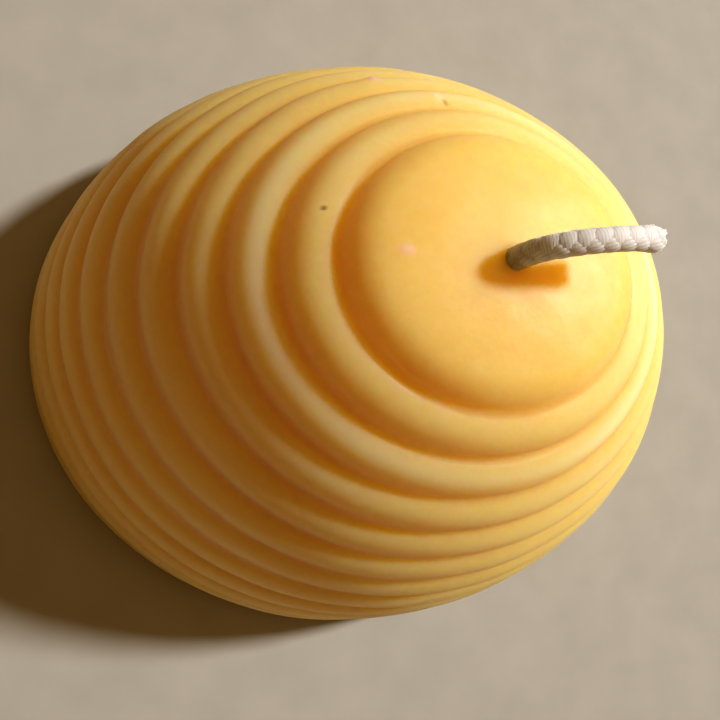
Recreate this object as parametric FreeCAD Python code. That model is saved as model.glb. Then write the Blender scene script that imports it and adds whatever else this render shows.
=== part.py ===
import FreeCAD, Part

import math
import os

from FreeCAD import Vector

# A skep-shaped beeswax candle: one cast wax body about +Z, and the square-braided cotton wick that
# runs up through it and bends over towards +X above the crown. The body is a little oval, because
# a soft mold gives way where it is clamped. The origin is the centre of the flat base. Lengths are
# in millimetres and angles in degrees.

# Wax body
COIL_PITCH = 4.03             # between the centres of two neighbouring coils, along the outline
COIL_COUNT = 11               # coils below the crown's rim
COIL_ROUND = 2.9              # radius of a coil's rounded back
GROOVE_ROUND = 0.8            # radius at the bottom of the groove between two coils
RIM_RADIUS = 7.49             # from the axis to the centre of the crown's rounded rim
CROWN_RISE = 0.9              # the crown's middle above its rim
FIRST_FALL = 37.1             # fall of the outline from the rim to the first coil
FIRST_TURN = 4.76             # how much steeper the outline falls at the next coil
TURN_EASE = 0.05              # how much less it steepens at each coil after that
FOOT_HEIGHT = 1.9             # the last coil's centre above the base
BASE_TRIM = 0.1               # thickness sliced off below the base, to leave it flat
OVAL_RATIO = 1.134            # the body's length over its width, seen from above
OVAL_HEADING = -10.6          # direction of its length, from +X

# Wick: four strands wind one way and four the other, over two and under two
STRANDS_EACH_WAY = 4
STRAND_RADIUS = 0.125
BRAID_RADIUS = 0.455          # mean distance of a strand from the wick's centre line
BRAID_WAVE = 0.26             # how far a strand moves out over, and in under, the others
BRAID_LAY = 3.9               # length of wick in which a strand goes once round it
POINTS_PER_LAY = 12
CHANNEL_RADIUS = 0.92
WICK_RECESS = 0.4             # the wick's lower end above the base
STUB_STRAIGHT = 0.3           # upright part of the stub, above the crown
STUB_BENDS = ((3.4, 55.0), (7.7, 50.0))     # radius and angle of each bend, from the crown outwards
RUN_SHARE = 0.45              # share of the shorter run that an arc between two runs takes up


def coil_centres():
    """The coils' centres in the XZ half plane, from the crown's rim down to the last coil."""
    radius, height, fall = RIM_RADIUS, 0.0, FIRST_FALL
    centres = [(radius, height)]
    for coil in range(COIL_COUNT):
        radius += COIL_PITCH * math.cos(math.radians(fall))
        height -= COIL_PITCH * math.sin(math.radians(fall))
        fall += FIRST_TURN - TURN_EASE * coil
        centres.append((radius, height))
    base = height - FOOT_HEIGHT
    return [Vector(r, 0, h - base) for r, h in centres]


def groove_centre(upper, lower):
    """Centre of the groove's fillet, which touches two neighbouring coils from outside."""
    chord = lower - upper
    reach = COIL_ROUND + GROOVE_ROUND
    out = math.sqrt(reach ** 2 - (chord.Length / 2) ** 2)
    outward = Vector(-chord.z, 0, chord.x).normalize()
    return upper + chord * 0.5 + outward * out


def towards(start, end, distance):
    """The point at a distance from start, on the line from start to end."""
    return start + (end - start).normalize() * distance


def arc_about(centre, start, end, outward):
    """Arc from start to end about centre, through the side that outward points to."""
    radius = (start - centre).Length
    middle = ((start - centre).normalize() + (end - centre).normalize()).normalize()
    if middle.dot(outward) < 0:
        middle = middle * -1
    return Part.Arc(start, centre + middle * radius, end).toShape()


def crown_dome(rim):
    """Centre and radius of the dome on the axis that runs smoothly into the rim's rounding."""
    gap = (rim.x ** 2 + CROWN_RISE ** 2) / (2 * CROWN_RISE)
    radius = gap + COIL_ROUND
    return Vector(0, 0, rim.z + COIL_ROUND + CROWN_RISE - radius), radius


def wax_outline(coils):
    """Closed outline of the wax in the XZ half plane, from the axis over the coils' backs."""
    dome, dome_radius = crown_dome(coils[0])
    top = dome + Vector(0, 0, dome_radius)
    foot = Vector(0, 0, -BASE_TRIM)
    edges = [Part.LineSegment(foot, top).toShape()]

    start = towards(dome, coils[0], dome_radius)
    edges.append(arc_about(dome, top, start, Vector(0, 0, 1)))
    for upper, lower in zip(coils, coils[1:]):
        groove = groove_centre(upper, lower)
        end = towards(upper, groove, COIL_ROUND)
        edges.append(arc_about(upper, start, end, groove - lower))
        start = towards(lower, groove, COIL_ROUND)
        edges.append(arc_about(groove, end, start, upper - groove))

    last = coils[-1]
    toe = Vector(last.x + math.sqrt(COIL_ROUND ** 2 - (last.z - foot.z) ** 2), 0, foot.z)
    edges.append(arc_about(last, start, toe, Vector(1, 0, 0)))
    edges.append(Part.LineSegment(toe, foot).toShape())
    return Part.Wire(edges)


def oval_stretch():
    """Matrix that makes a round body oval, and leaves its area seen from above as it was."""
    stretch = FreeCAD.Matrix()
    stretch.rotateZ(math.radians(-OVAL_HEADING))
    stretch.scale(Vector(math.sqrt(OVAL_RATIO), 1 / math.sqrt(OVAL_RATIO), 1))
    stretch.rotateZ(math.radians(OVAL_HEADING))
    return stretch


def wax_body(coils, crown_top):
    """The casting: the outline turned about the axis, made oval, with a flat base and a channel."""
    outline = Part.Face(wax_outline(coils))
    quarters = []
    for heading in range(0, 360, 90):
        quarter = outline.revolve(Vector(0, 0, 0), Vector(0, 0, 1), 90)
        quarter.rotate(Vector(0, 0, 0), Vector(0, 0, 1), heading)
        quarters.append(quarter)
    oval = quarters[0].multiFuse(quarters[1:]).transformGeometry(oval_stretch())
    width = 4 * max(coil.x for coil in coils)
    below = Part.makeBox(width, width, BASE_TRIM * 2, Vector(-width / 2, -width / 2, -BASE_TRIM * 2))
    channel = Part.makeCylinder(CHANNEL_RADIUS, crown_top * 2, Vector(0, 0, -crown_top / 2))
    return oval.cut(below.fuse(channel)).Solids[0]


def wick_stretches(crown_top):
    """The wick's centre line as (length, radius) stretches from its lower end; None is straight."""
    stretches = [(crown_top + STUB_STRAIGHT - WICK_RECESS, None)]
    for radius, angle in STUB_BENDS:
        stretches.append((radius * math.radians(angle), radius))
    return stretches


def wick_place(stretches, along):
    """Point on the wick's centre line at a length along it, and its lean from upright in radians."""
    place, lean = Vector(0, 0, WICK_RECESS), 0.0
    for length, radius in stretches:
        step = min(along, length)
        if radius is None:
            place = place + Vector(math.sin(lean), 0, math.cos(lean)) * step
        else:
            turned = lean + step / radius
            place = place + Vector(math.cos(lean) - math.cos(turned), 0,
                                   math.sin(turned) - math.sin(lean)) * radius
            lean = turned
        along -= step
        if along <= 0:
            break
    return place, lean


def strand_points(stretches, way, index):
    """Points along one strand. way is 1 or -1, for the two directions that the strands wind in."""
    total = sum(length for length, _ in stretches)
    count = round(total / BRAID_LAY * POINTS_PER_LAY)
    points = []
    for step in range(count + 1):
        along = total * step / count
        place, lean = wick_place(stretches, along)
        turn = 2 * math.pi * (way * along / BRAID_LAY + index / STRANDS_EACH_WAY)
        out = BRAID_RADIUS + way * BRAID_WAVE * math.cos(2 * turn - math.pi / 4)
        sideways = Vector(math.cos(lean), 0, -math.sin(lean))
        points.append(place + sideways * (out * math.cos(turn)) + Vector(0, out * math.sin(turn), 0))
    return points


def rounded_path(points):
    """Straight runs through the points, joined by tangent arcs."""
    edges = []
    start = points[0]
    for before, corner, after in zip(points, points[1:], points[2:]):
        back = (before - corner).normalize()
        ahead = (after - corner).normalize()
        reach = RUN_SHARE * min((before - corner).Length, (after - corner).Length)
        half_turn = (math.pi - back.getAngle(ahead)) / 2
        radius = reach / math.tan(half_turn)
        inward = (back + ahead).normalize()
        middle = corner + inward * (radius / math.cos(half_turn) - radius)
        edges.append(Part.LineSegment(start, corner + back * reach).toShape())
        edges.append(Part.Arc(corner + back * reach, middle, corner + ahead * reach).toShape())
        start = corner + ahead * reach
    edges.append(Part.LineSegment(start, points[-1]).toShape())
    return Part.Wire(edges)


def strand(points):
    """One strand: a round section swept along its path."""
    path = rounded_path(points)
    section = Part.Circle(points[0], points[1] - points[0], STRAND_RADIUS).toShape()
    sweep = Part.BRepOffsetAPI.MakePipeShell(path)
    sweep.setFrenetMode(False)
    sweep.add(Part.Wire([section]), False, False)
    sweep.build()
    sweep.makeSolid()
    return sweep.shape()


def write(node, shape):
    """Writes one node's STEP file and prints what it holds."""
    print(node, shape.ShapeType, "valid", shape.isValid(), "volume", round(shape.Volume, 2))
    shape.exportStep(os.path.join("parts", node + ".step"))


def main():
    os.makedirs("parts", exist_ok=True)
    coils = coil_centres()
    dome, dome_radius = crown_dome(coils[0])
    crown_top = dome.z + dome_radius
    write("wax_body", wax_body(coils, crown_top))

    stretches = wick_stretches(crown_top)
    for way, label in ((1, "right"), (-1, "left")):
        for index in range(STRANDS_EACH_WAY):
            points = strand_points(stretches, way, index)
            write("wick_strand_%s_%d" % (label, index + 1), strand(points))


main()
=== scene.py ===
import math
import random

import bpy
import numpy as np
from mathutils import Matrix, Vector, noise


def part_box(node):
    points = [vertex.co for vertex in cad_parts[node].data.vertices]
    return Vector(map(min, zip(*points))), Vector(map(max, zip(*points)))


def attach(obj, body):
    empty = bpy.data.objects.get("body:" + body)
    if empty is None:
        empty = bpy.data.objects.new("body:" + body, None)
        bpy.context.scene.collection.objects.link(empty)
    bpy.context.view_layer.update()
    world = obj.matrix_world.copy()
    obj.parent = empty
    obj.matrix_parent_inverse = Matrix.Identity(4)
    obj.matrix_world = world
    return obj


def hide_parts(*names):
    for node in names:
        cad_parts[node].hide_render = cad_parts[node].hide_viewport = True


# A skep-shaped beeswax candle and its braided wick, in metres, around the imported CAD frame.

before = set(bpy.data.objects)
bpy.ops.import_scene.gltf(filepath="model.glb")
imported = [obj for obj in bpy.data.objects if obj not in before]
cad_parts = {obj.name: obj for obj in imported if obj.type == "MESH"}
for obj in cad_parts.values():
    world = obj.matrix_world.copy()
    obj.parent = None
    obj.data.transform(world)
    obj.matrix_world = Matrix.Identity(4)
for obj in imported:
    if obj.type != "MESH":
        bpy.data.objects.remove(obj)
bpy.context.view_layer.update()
MM = 0.001

# The wax body, as in the CAD model
COIL_PITCH = 4.03 * MM
COIL_COUNT = 11
COIL_ROUND = 2.9 * MM
GROOVE_ROUND = 0.8 * MM
RIM_RADIUS = 7.49 * MM
CROWN_RISE = 0.9 * MM
FIRST_FALL = math.radians(37.1)
FIRST_TURN = math.radians(4.76)
TURN_EASE = math.radians(0.05)
FOOT_HEIGHT = 1.9 * MM
OVAL_RATIO = 1.134
OVAL_HEADING = math.radians(-10.6)

# The wick's route, as in the CAD model
WICK_RECESS = 0.4 * MM
STUB_STRAIGHT = 0.3 * MM
STUB_BENDS = ((3.4 * MM, math.radians(55.0)), (7.7 * MM, math.radians(50.0)))
BRAID_LAY = 3.9 * MM
STRANDS_EACH_WAY = 4

# Camera, placed from a level a little below the crown's top, and the key light
VIEW_LEVEL = 3.05 * MM
VIEW_HEADING = math.radians(23.9)       # turned from +X towards +Y
VIEW_ELEVATION = math.radians(58.3)
VIEW_ROLL = math.radians(65.1)
VIEW_DISTANCE = 51.7 * MM
VIEW_AIM = Vector((-11.69 * MM, -0.96 * MM))    # ahead and to the left of the axis
FOCAL_SHARE = 1.015                    # focal length as a share of the picture's width
KEY_HEADING = math.radians(15.0)
KEY_ELEVATION = math.radians(46.5)
FILL_ELEVATION = math.radians(80.0)


def make_camera(crown_top):
    """The camera looks down steeply at the crown from close by, rolled onto its side."""
    ahead = Vector((math.cos(VIEW_HEADING), math.sin(VIEW_HEADING), 0))
    left = Vector((-ahead.y, ahead.x, 0))
    level = Vector((0, 0, crown_top - VIEW_LEVEL))
    back = Vector((0, 0, math.sin(VIEW_ELEVATION))) - ahead * math.cos(VIEW_ELEVATION)
    eye = level + back * VIEW_DISTANCE
    aim = level + ahead * VIEW_AIM.x + left * VIEW_AIM.y
    forward = (aim - eye).normalized()
    right = forward.cross(Vector((0, 0, 1))).normalized()
    up = right.cross(forward)
    across = right * math.cos(VIEW_ROLL) + up * math.sin(VIEW_ROLL)
    upright = up * math.cos(VIEW_ROLL) - right * math.sin(VIEW_ROLL)
    data = bpy.data.cameras.new("photo_camera")
    data.sensor_width = 36.0
    data.lens = FOCAL_SHARE * data.sensor_width
    data.clip_start, data.clip_end = 0.002, 5.0
    camera = bpy.data.objects.new("photo_camera", data)
    camera.matrix_world = Matrix((
        (across.x, upright.x, -forward.x, eye.x),
        (across.y, upright.y, -forward.y, eye.y),
        (across.z, upright.z, -forward.z, eye.z),
        (0, 0, 0, 1)))
    bpy.context.scene.collection.objects.link(camera)
    bpy.context.scene.camera = camera


# ---------------------------------------------------------------- geometry shared with the CAD

def coil_centres():
    """Radius and height of each coil's centre, from the crown's rim down to the last coil."""
    radius, height, fall = RIM_RADIUS, 0.0, FIRST_FALL
    centres = [(radius, height)]
    for coil in range(COIL_COUNT):
        radius += COIL_PITCH * math.cos(fall)
        height -= COIL_PITCH * math.sin(fall)
        fall += FIRST_TURN - TURN_EASE * coil
        centres.append((radius, height))
    base = height - FOOT_HEIGHT
    return [Vector((r, h - base)) for r, h in centres]


def groove_centre(upper, lower):
    """Centre of the fillet in the groove between two neighbouring coils."""
    chord = lower - upper
    out = math.sqrt((COIL_ROUND + GROOVE_ROUND) ** 2 - (chord.length / 2) ** 2)
    return upper + chord / 2 + Vector((-chord.y, chord.x)).normalized() * out


def wick_place(along, crown_top):
    """Point on the wick's centre line at a length from its lower end, and its lean from upright."""
    stretches = [(crown_top + STUB_STRAIGHT - WICK_RECESS, None)]
    stretches += [(radius * angle, radius) for radius, angle in STUB_BENDS]
    place, lean = Vector((0, 0, WICK_RECESS)), 0.0
    for length, radius in stretches:
        step = min(along, length)
        if radius is None:
            place += Vector((0, 0, step))
        else:
            turned = lean + step / radius
            place += Vector((math.cos(lean) - math.cos(turned), 0, math.sin(turned) - math.sin(lean))) * radius
            lean = turned
        along -= step
        if along <= 0:
            break
    return place, lean


def wick_length(crown_top):
    """Length of the whole wick, from its lower end to the cut tip."""
    return crown_top + STUB_STRAIGHT - WICK_RECESS + sum(r * a for r, a in STUB_BENDS)


# ---------------------------------------------------------------- meshes

def mesh_object(name, points, faces, smooth=True):
    """A mesh object in the scene from points and faces."""
    mesh = bpy.data.meshes.new(name)
    mesh.from_pydata([tuple(p) for p in points], [], faces)
    mesh.update()
    if smooth:
        mesh.shade_smooth()
    made = bpy.data.objects.new(name, mesh)
    bpy.context.scene.collection.objects.link(made)
    return made


def add_attribute(made, name, values):
    """One number per point, for the material to read."""
    layer = made.data.attributes.new(name, "FLOAT", "POINT")
    layer.data.foreach_set("value", np.asarray(values, np.float32))


AROUND = 640                   # points round the wax body
SURFACE_STEP = 0.3 * MM        # between points along a coil's back
CORE_RADIUS = 0.3 * MM         # the wax soaks into the braid, and leaves only its core hollow
LIP_RADIUS = 0.55 * MM         # where the wax meets the wick at the crown and at the base
LIP_DEPTH = 0.8 * MM
MENISCUS_RISE = 0.3 * MM
MENISCUS_REACH = 0.3 * MM
TOE_ROUND = 0.3 * MM
BASE_DISH = 0.35 * MM          # the base sinks a little towards the wick as the wax shrinks
BASE_FLAT = 6.0 * MM           # width of the flat ring that the candle stands on


def arc(centre, start, end, radius, hollow):
    """Points and outward normals along an arc in the outline, start and end being angles."""
    steps = max(4, math.ceil(abs(end - start) * radius / SURFACE_STEP))
    for step in range(steps):
        angle = start + (end - start) * step / steps
        way = Vector((math.cos(angle), math.sin(angle)))
        yield centre + way * radius, -way if hollow else way


def wax_outline(coils):
    """Rows of (radius, height, normal, coil, wobble) down the outline, then in along the base."""
    gap = (RIM_RADIUS ** 2 + CROWN_RISE ** 2) / (2 * CROWN_RISE)
    dome_radius = gap + COIL_ROUND
    dome = Vector((0, coils[0].y + COIL_ROUND + CROWN_RISE - dome_radius))
    rim_way = (coils[0] - dome).normalized()
    rim_edge = (dome + rim_way * dome_radius).x
    rows = []

    inner = 0.0
    while LIP_RADIUS + inner < rim_edge:
        radius = LIP_RADIUS + inner
        height = dome.y + math.sqrt(dome_radius ** 2 - radius ** 2)
        rise = MENISCUS_RISE * math.exp(-inner / MENISCUS_REACH)
        slope = rise / MENISCUS_REACH
        rows.append((radius, height + rise, Vector((slope, 1)).normalized(), 0, min(1, inner / (2 * MM))))
        inner += 0.06 * MM + min(0.3 * MM, inner * 0.15)

    start = math.atan2(rim_way.y, rim_way.x)
    for index, (upper, lower) in enumerate(zip(coils, coils[1:])):
        groove = groove_centre(upper, lower)
        end = math.atan2(groove.y - upper.y, groove.x - upper.x)
        for point, normal in arc(upper, start, end, COIL_ROUND, False):
            rows.append((point.x, point.y, normal, index, 1.0))
        back = math.atan2(lower.y - groove.y, lower.x - groove.x)
        for point, normal in arc(groove, end + math.pi, back + 2 * math.pi, GROOVE_ROUND, True):
            rows.append((point.x, point.y, normal, index + 0.5, 1.0))
        start = math.atan2(groove.y - lower.y, groove.x - lower.x)

    last = coils[-1]
    end = -math.asin((last.y - TOE_ROUND) / COIL_ROUND)
    for point, normal in arc(last, start, end, COIL_ROUND, False):
        rows.append((point.x, point.y, normal, COIL_COUNT, min(1.0, point.y / COIL_ROUND)))
    toe = last.x + COIL_ROUND * math.cos(end)
    for step in range(5):
        turn = step / 4 * math.pi / 2
        rows.append((toe - TOE_ROUND * (1 - math.cos(turn)) * 1.2, TOE_ROUND * (1 - math.sin(turn)),
                     Vector((math.cos(turn), -math.sin(turn))), COIL_COUNT, 0.0))

    outer = rows[-1][0]
    base_steps = 44
    for step in range(1, base_steps + 1):
        radius = outer + (LIP_RADIUS - outer) * step / base_steps
        inside = max(0.0, outer - BASE_FLAT - radius) / (outer - BASE_FLAT)
        height = BASE_DISH * (1 - math.cos(math.pi * min(1.0, inside * 1.4))) / 2
        rows.append((radius, height, Vector((0, -1)), 90, 0.3 * min(1.0, inside * 6)))

    top = rows[0][1]
    low = rows[-1][1]
    for height in (low + LIP_DEPTH, top - LIP_DEPTH):
        rows.append((CORE_RADIUS, height, Vector((-1, 0)), 99, 0.0))
    return rows


# Small marks on the upper wax: heading in degrees, distance from the axis, spread and
# height (below nothing for a pit) in millimetres, and how pale it is (below nothing for dark). The dark
# pit beside the bump at 93.5 degrees is that bump's painted shadow.
MARKS = ((173.0, 6.9, 0.45, 0.08, 0.8), (102.5, 18.8, 0.55, 0.2, 0.9), (93.5, 15.2, 0.4, 0.22, 0.2),
         (91.0, 14.6, 0.22, -0.15, -0.5), (157.0, 11.8, 0.18, -0.08, -0.8))
MARKED_ABOVE = 25 * MM


def mark_at(place):
    """Lift in metres and paleness that the marks give the wax at a place."""
    lift, pale = 0.0, 0.0
    for heading, distance, spread, rise, tint in MARKS:
        across = place.x - math.cos(math.radians(heading)) * distance * MM
        along = place.y - math.sin(math.radians(heading)) * distance * MM
        away = (across * across + along * along) / (spread * MM) ** 2
        if away < 8:
            lift += rise * MM * math.exp(-away)
            pale += tint * math.exp(-away * away)
    return lift, pale


def wax_lump(point, heading, coil):
    """How far the cast surface wanders along its normal, from hand-made mold and shrinkage."""
    broad = noise.noise(point / (15 * MM)) * 0.16
    spread = min(1.0, math.hypot(point.x, point.y) / RIM_RADIUS) * 1.3
    around = Vector((math.cos(heading) * spread, math.sin(heading) * spread, coil * 2.7))
    coil_wander = noise.noise(around) * 0.09 + noise.noise(around * 3.1) * 0.03
    fine = noise.noise(point / (2.4 * MM)) * 0.014
    return (broad + coil_wander + fine) * MM


# Strength of the painted sheen, a pale painted highlight on each coil's upper side, strongest on the second
# coil
PAINTED_SHEEN_BY_COIL = (0.6, 1.3, 0.5, 0.4, 0.2)      # from the crown down; the last holds for the rest


def painted_sheen_on(normal, coil, point):
    """How strong the pale painted sheen is, mostly on the upper coils' upper sides, which the light catches.
    """
    if coil not in range(1, COIL_COUNT + 1):
        return 0.0
    tilt = math.atan2(normal.x, normal.y)
    slope = FIRST_FALL + FIRST_TURN * (coil - 0.5)
    here = math.exp(-((tilt - slope + 0.2) / 0.3) ** 2)
    patchy = 0.6 + 0.5 * noise.noise(point / (9 * MM))
    return here * patchy * PAINTED_SHEEN_BY_COIL[min(coil, len(PAINTED_SHEEN_BY_COIL)) - 1]


def make_wax(coils):
    """The cast wax body: the outline turned about the axis, with the unevenness of a real casting."""
    rows = wax_outline(coils)
    oval = Matrix.Rotation(OVAL_HEADING, 3, "Z")
    oval = oval @ Matrix.Diagonal((OVAL_RATIO ** 0.5, OVAL_RATIO ** -0.5, 1)) @ oval.transposed()
    points, painted_sheen, tints = [], [], []
    for radius, height, normal, coil, wobble in rows:
        for step in range(AROUND):
            heading = 2 * math.pi * step / AROUND
            way = Vector((math.cos(heading), math.sin(heading), 0))
            place = way * radius + Vector((0, 0, height))
            lift, pale = mark_at(place) if height > MARKED_ABOVE else (0.0, 0.0)
            lift += wax_lump(place, heading, coil) * wobble
            place = place + (way * normal.x + Vector((0, 0, normal.y))) * lift
            points.append(oval @ place)
            painted_sheen.append(painted_sheen_on(normal, coil, place))
            tints.append(pale)
    faces = []
    count = len(rows)
    for row in range(count):
        below = (row + 1) % count
        for step in range(AROUND):
            after = (step + 1) % AROUND
            faces.append((row * AROUND + step, below * AROUND + step,
                          below * AROUND + after, row * AROUND + after))
    made = mesh_object("wax_body_cast", points, faces)
    add_attribute(made, "painted_sheen", painted_sheen)
    add_attribute(made, "tint", tints)
    return made


BRAID_MEAN = 0.42 * MM         # mean distance of a strand from the wick's centre line
BRAID_WAVE = 0.06 * MM         # how far a strand goes out over, and in under, the others
BRAID_TURN = math.radians(42.5)
STRAND_WIDE = 0.6 * MM         # half width and half thickness of a strand's flattened section
STRAND_THICK = 0.35 * MM
STRAND_SIDES = 24
STRAND_PLIES = 8
PLY_TWIST = 1.7 * MM           # length of strand in which its plies go once round
VISIBLE_STEP = 0.07 * MM
HIDDEN_STEP = 0.35 * MM
FRAY_LENGTH = 1.6 * MM
TIP_TRIM = 0.45 * MM           # how much shorter the yarn is than the CAD strand


def strand_line(way, index, crown_top, rng):
    """Centre points, outward ways and distances to the tip, down one strand."""
    total = wick_length(crown_top)
    stub = total - crown_top
    tip_trim = TIP_TRIM + rng.uniform(0, 0.22) * MM
    along, points, ways, left = 0.0, [], [], []
    while along < total - tip_trim:
        place, lean = wick_place(along, crown_top)
        turn = 2 * math.pi * (way * along / BRAID_LAY + index / STRANDS_EACH_WAY)
        fray = max(0.0, 1 - (total - along) / FRAY_LENGTH)
        out = BRAID_MEAN + way * BRAID_WAVE * math.cos(2 * turn - math.pi / 4)
        out *= 1 + 0.28 * fray ** 2
        turn += BRAID_TURN
        sideways = Vector((math.cos(lean), 0, -math.sin(lean)))
        outward = sideways * math.cos(turn) + Vector((0, 1, 0)) * math.sin(turn)
        points.append(place + outward * out)
        ways.append(outward)
        left.append(total - along)
        along += VISIBLE_STEP if total - along < stub + 1.5 * MM else HIDDEN_STEP
    return points, ways, left


def make_strand(way, index, crown_top):
    """One strand of the braid: a flattened yarn of twisted plies, frayed open at the cut tip."""
    name = "wick_strand_%s_%d" % ("right" if way > 0 else "left", index + 1)
    rng = random.Random(name)
    centre, ways, left = strand_line(way, index, crown_top, rng)
    stub = STUB_STRAIGHT + sum(r * a for r, a in STUB_BENDS)
    points, dryness, plies = [], [], []
    travelled = 0.0
    for at, place in enumerate(centre):
        before, after = centre[max(at - 1, 0)], centre[min(at + 1, len(centre) - 1)]
        travelled += (place - before).length
        forward = (after - before).normalized()
        outward = (ways[at] - forward * ways[at].dot(forward)).normalized()
        across = forward.cross(outward)
        fray = max(0.0, 1 - left[at] / FRAY_LENGTH)
        fullness = 1 + 0.05 * noise.noise(Vector((travelled / (1.3 * MM), index * 5.1, way * 3.3)))
        for side in range(STRAND_SIDES):
            angle = 2 * math.pi * side / STRAND_SIDES
            ply = math.cos(STRAND_PLIES * (angle - 2 * math.pi * travelled / PLY_TWIST))
            swell = fullness * (1 + (0.04 + 0.06 * fray) * ply) * (1 + 0.16 * fray)
            offset = across * (math.cos(angle) * STRAND_WIDE) + outward * (math.sin(angle) * STRAND_THICK)
            ragged = forward * (rng.uniform(-0.07, 0.07) * MM if at == len(centre) - 1 else 0)
            points.append(place + offset * swell + ragged)
            dryness.append(max(0.0, min(1.0, 1 - left[at] / stub)))
            plies.append(ply)
    rings = len(centre)
    faces = [(r * STRAND_SIDES + s, r * STRAND_SIDES + (s + 1) % STRAND_SIDES,
              (r + 1) * STRAND_SIDES + (s + 1) % STRAND_SIDES, (r + 1) * STRAND_SIDES + s)
             for r in range(rings - 1) for s in range(STRAND_SIDES)]
    faces.append(tuple(reversed(range(STRAND_SIDES))))
    faces.append(tuple(range((rings - 1) * STRAND_SIDES, rings * STRAND_SIDES)))
    made = mesh_object(name + "_yarn", points, faces)
    add_attribute(made, "dryness", dryness)
    add_attribute(made, "ply", plies)
    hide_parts(name)
    return made


# ---------------------------------------------------------------- materials

def new_material(name):
    """A material with an empty node tree but for the shader and the output."""
    material = bpy.data.materials.new(name)
    material.use_nodes = True
    nodes = material.node_tree.nodes
    nodes.clear()
    shader = nodes.new("ShaderNodeBsdfPrincipled")
    output = nodes.new("ShaderNodeOutputMaterial")
    material.node_tree.links.new(shader.outputs["BSDF"], output.inputs["Surface"])
    return material, shader


def add_node(material, kind, inputs=None, **settings):
    """A node with its settings and unlinked inputs filled in."""
    node = material.node_tree.nodes.new("ShaderNode" + kind)
    for key, value in settings.items():
        setattr(node, key, value)
    for key, value in (inputs or {}).items():
        node.inputs[key].default_value = value
    return node


def link(material, start, end):
    material.node_tree.links.new(start, end)


def noise_at(material, size, detail=3.0, roughness=0.5, stretch=(1, 1, 1)):
    """Noise over the object's own coordinates, with features of a size in metres."""
    place = add_node(material, "TexCoord")
    scale = add_node(material, "Mapping", {"Scale": tuple(s / size for s in stretch)})
    link(material, place.outputs["Object"], scale.inputs["Vector"])
    texture = add_node(material, "TexNoise", {"Scale": 1.0, "Detail": detail, "Roughness": roughness})
    link(material, scale.outputs["Vector"], texture.inputs["Vector"])
    return texture.outputs["Fac"]


def remap(material, value, low, high, to_low, to_high):
    """A number mapped from one range to another, and held inside it."""
    node = add_node(material, "MapRange", {"From Min": low, "From Max": high,
                                           "To Min": to_low, "To Max": to_high})
    link(material, value, node.inputs["Value"])
    return node.outputs["Result"]


def blend_colour(material, factor, first, second, mode="MIX"):
    """Two colours mixed by a factor. Each of them is a colour, or a socket to read one from."""
    node = add_node(material, "Mix", data_type="RGBA", blend_type=mode)
    if isinstance(factor, float):
        node.inputs[0].default_value = factor
    else:
        link(material, factor, node.inputs[0])
    for socket, colour in ((node.inputs[6], first), (node.inputs[7], second)):
        if isinstance(colour, tuple):
            socket.default_value = (*colour, 1.0)
        else:
            link(material, colour, socket)
    return node.outputs[2]


def bump(material, height, distance, strength=1.0, normal=None):
    node = add_node(material, "Bump", {"Strength": strength, "Distance": distance})
    link(material, height, node.inputs["Height"])
    if normal:
        link(material, normal, node.inputs["Normal"])
    return node.outputs["Normal"]


def beeswax():
    """Cast beeswax: deep, cloudy honey yellow that light soaks into, with a satin skin."""
    material, shader = new_material("beeswax")
    clouds = remap(material, noise_at(material, 17 * MM, 3.0), 0.35, 0.65, 0.0, 1.0)
    colour = blend_colour(material, clouds, (0.86, 0.66, 0.24), (0.84, 0.61, 0.20))
    grains = remap(material, noise_at(material, 0.9 * MM, 2.0), 0.4, 0.6, 0.0, 0.25)
    colour = blend_colour(material, grains, colour, (0.88, 0.70, 0.29))
    # Painted sheen: pale colour on the coils' upper sides stands in for the light catching them
    painted_sheen = add_node(material, "Attribute", attribute_name="painted_sheen").outputs["Fac"]
    colour = blend_colour(material, painted_sheen, colour, (0.92, 0.82, 0.48))
    tint = add_node(material, "Attribute", attribute_name="tint").outputs["Fac"]
    colour = blend_colour(material, remap(material, tint, 0.0, 1.0, 0.0, 1.0), colour, (0.95, 0.62, 0.50))
    # Negative paleness darkens the wax; beside the bump at 93.5 degrees this is painted shadow
    colour = blend_colour(material, remap(material, tint, 0.0, -1.0, 0.0, 1.0), colour, (0.25, 0.12, 0.03))
    link(material, colour, shader.inputs["Base Color"])
    rough = remap(material, noise_at(material, 5 * MM, 4.0), 0.3, 0.7, 0.44, 0.56)
    link(material, rough, shader.inputs["Roughness"])
    shader.inputs["IOR"].default_value = 1.5
    shader.inputs["Subsurface Weight"].default_value = 1.0
    shader.inputs["Subsurface Radius"].default_value = (1.0, 0.6, 0.12)
    shader.inputs["Subsurface Scale"].default_value = 11.0 * MM
    skin = bump(material, noise_at(material, 0.45 * MM, 3.0), 0.012 * MM, 1.0)
    waves = bump(material, noise_at(material, 3.5 * MM, 2.0), 0.05 * MM, 1.0, skin)
    link(material, waves, shader.inputs["Normal"])
    return material


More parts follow.
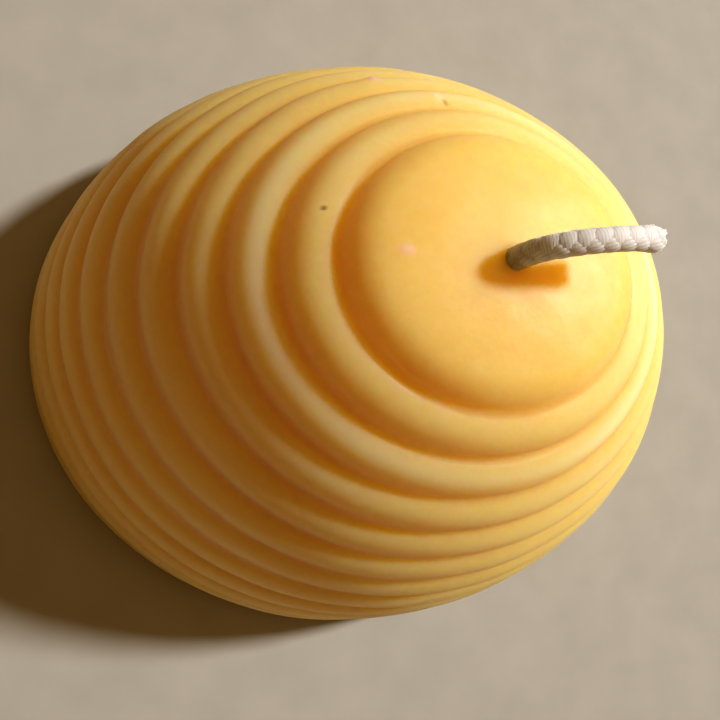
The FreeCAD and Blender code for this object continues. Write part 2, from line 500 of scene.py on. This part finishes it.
def wick_cotton():
    """Cotton yarn: waxed, brown and shiny where it leaves the crown, white and dry at the tip."""
    material, shader = new_material("wick_cotton")
    dryness = add_node(material, "Attribute", attribute_name="dryness").outputs["Fac"]
    ply = add_node(material, "Attribute", attribute_name="ply").outputs["Fac"]
    patches = remap(material, noise_at(material, 0.8 * MM, 3.0), 0.3, 0.7, -0.08, 0.08)
    total = add_node(material, "Math", operation="ADD")
    link(material, dryness, total.inputs[0])
    link(material, patches, total.inputs[1])
    soaked = remap(material, total.outputs[0], 0.05, 0.3, 0.0, 1.0)
    whiter = remap(material, total.outputs[0], 0.35, 0.7, 0.0, 1.0)
    colour = blend_colour(material, soaked, (0.50, 0.48, 0.42), (0.84, 0.91, 0.98))
    colour = blend_colour(material, whiter, colour, (0.92, 0.97, 1.0))
    # Painted shade: the yarn's colour darkens in the creases between its plies
    painted_ply_shade = remap(material, ply, -1.0, 0.2, 0.76, 1.0)
    shade = add_node(material, "CombineColor")
    for socket in shade.inputs[:3]:
        link(material, painted_ply_shade, socket)
    colour = blend_colour(material, 1.0, colour, shade.outputs[0], "MULTIPLY")
    link(material, colour, shader.inputs["Base Color"])
    link(material, remap(material, total.outputs[0], 0.1, 0.5, 0.3, 0.85), shader.inputs["Roughness"])
    shader.inputs["Subsurface Weight"].default_value = 0.1
    shader.inputs["Subsurface Radius"].default_value = (1.0, 0.9, 0.8)
    shader.inputs["Subsurface Scale"].default_value = 0.3 * MM
    shader.inputs["Sheen Weight"].default_value = 0.35
    shader.inputs["Sheen Roughness"].default_value = 0.4
    fibres = bump(material, noise_at(material, 0.09 * MM, 4.0, 0.6), 0.02 * MM, 0.8)
    link(material, fibres, shader.inputs["Normal"])
    return material


def pale_floor():
    material, shader = new_material("floor_paper")
    tone = remap(material, noise_at(material, 6 * MM, 3.0), 0.3, 0.7, 0.0, 1.0)
    link(material, blend_colour(material, tone, (0.39, 0.40, 0.38), (0.42, 0.43, 0.41)),
         shader.inputs["Base Color"])
    shader.inputs["Roughness"].default_value = 0.8
    return material


# ---------------------------------------------------------------- studio

def make_floor():
    side = 2.0
    floor = mesh_object("floor", [(-side, -side, 0), (side, -side, 0), (side, side, 0), (-side, side, 0)],
                        [(0, 1, 2, 3)], smooth=False)
    floor.data.materials.append(pale_floor())


def make_light(name, heading, elevation, distance, size, power, colour, target):
    """A soft round light that faces the target."""
    data = bpy.data.lights.new(name, "AREA")
    data.shape = "DISK"
    data.size = size
    data.energy = power
    data.color = colour
    light = bpy.data.objects.new(name, data)
    way = Vector((math.cos(heading) * math.cos(elevation), math.sin(heading) * math.cos(elevation),
                  math.sin(elevation)))
    light.location = target + way * distance
    light.rotation_mode = "QUATERNION"
    light.rotation_quaternion = way.to_track_quat("Z", "Y")
    bpy.context.scene.collection.objects.link(light)


def make_studio(target):
    world = bpy.data.worlds.new("studio")
    world.use_nodes = True
    sky = world.node_tree.nodes["Background"]
    sky.inputs["Color"].default_value = (1.0, 0.46, 0.08, 1)
    sky.inputs["Strength"].default_value = 0.16
    bpy.context.scene.world = world
    bpy.context.scene.view_settings.view_transform = "Standard"
    bpy.context.scene.view_settings.look = "High Contrast"
    make_light("key", KEY_HEADING, KEY_ELEVATION, 2.0, 0.23, 34.5, (1.0, 0.96, 0.93), target)
    make_light("fill", KEY_HEADING, FILL_ELEVATION, 2.0, 1.3, 3.4, (1.0, 0.80, 0.45), target)


# ---------------------------------------------------------------- assembly

coils = coil_centres()
low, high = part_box("wax_body")
crown_top = high.z
make_camera(crown_top)

wax = make_wax(coils)
wax.data.materials.append(beeswax())
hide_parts("wax_body")
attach(wax, "root")

cotton = wick_cotton()
for way in (1, -1):
    for index in range(STRANDS_EACH_WAY):
        yarn = make_strand(way, index, crown_top)
        yarn.data.materials.append(cotton)
        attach(yarn, "root")

make_floor()
make_studio(Vector((0, 0, (low.z + high.z) / 2)))
